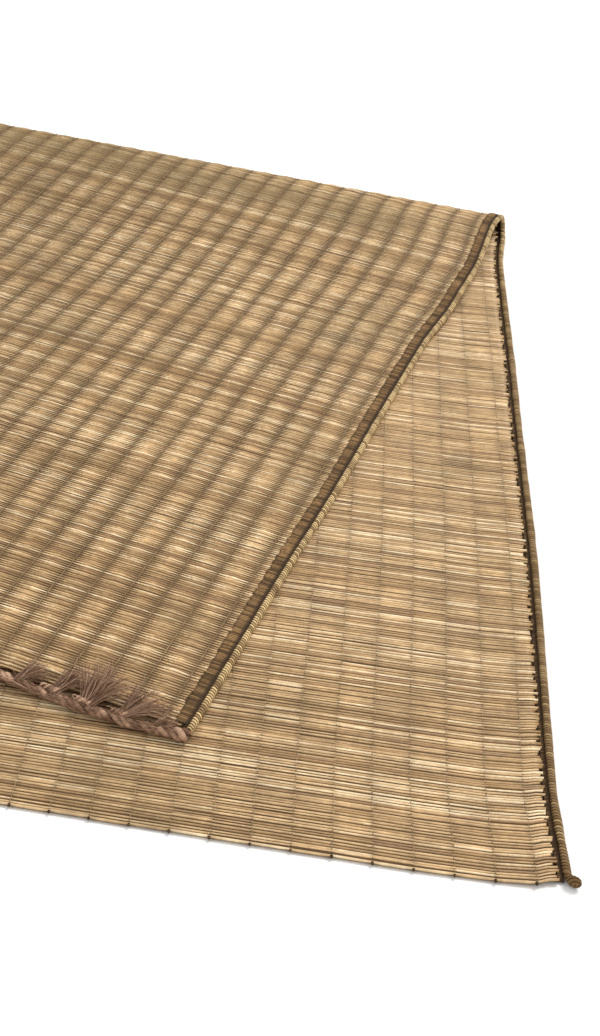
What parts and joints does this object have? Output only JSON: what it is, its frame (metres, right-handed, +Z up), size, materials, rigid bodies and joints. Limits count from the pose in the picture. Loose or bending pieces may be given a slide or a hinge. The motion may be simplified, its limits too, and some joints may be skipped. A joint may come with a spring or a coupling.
{
  "type": "folded woven grass mat",
  "caption": "Hand-woven grass floor mat folded once over itself, with wrapped cord edges, dark stitched side bands and a twisted bast cord with frayed tufts at one end.",
  "frame": {"origin": "centre of the bounding box, on the floor the mat rests on", "axes": "+Z up from the floor, +X to the right seen from the lower layer's end, +Y from that end towards the fold"},
  "size_m": [1.1408, 1.1028, 0.0333],
  "materials": {
    "straw": "matte dry grass stems",
    "straw_wrap": "matte wrapped grass",
    "dark_fibre": "matte dark fibre stitching",
    "bast": "matte twisted bark fibre"
  },
  "bodies": {
    "root": {"mat_sheet": "straw", "side_binding_right": "straw_wrap", "side_binding_left": "straw_wrap", "side_band_right": "dark_fibre", "side_band_left": "dark_fibre", "end_braid": "bast"}
  },
  "joints": []
}
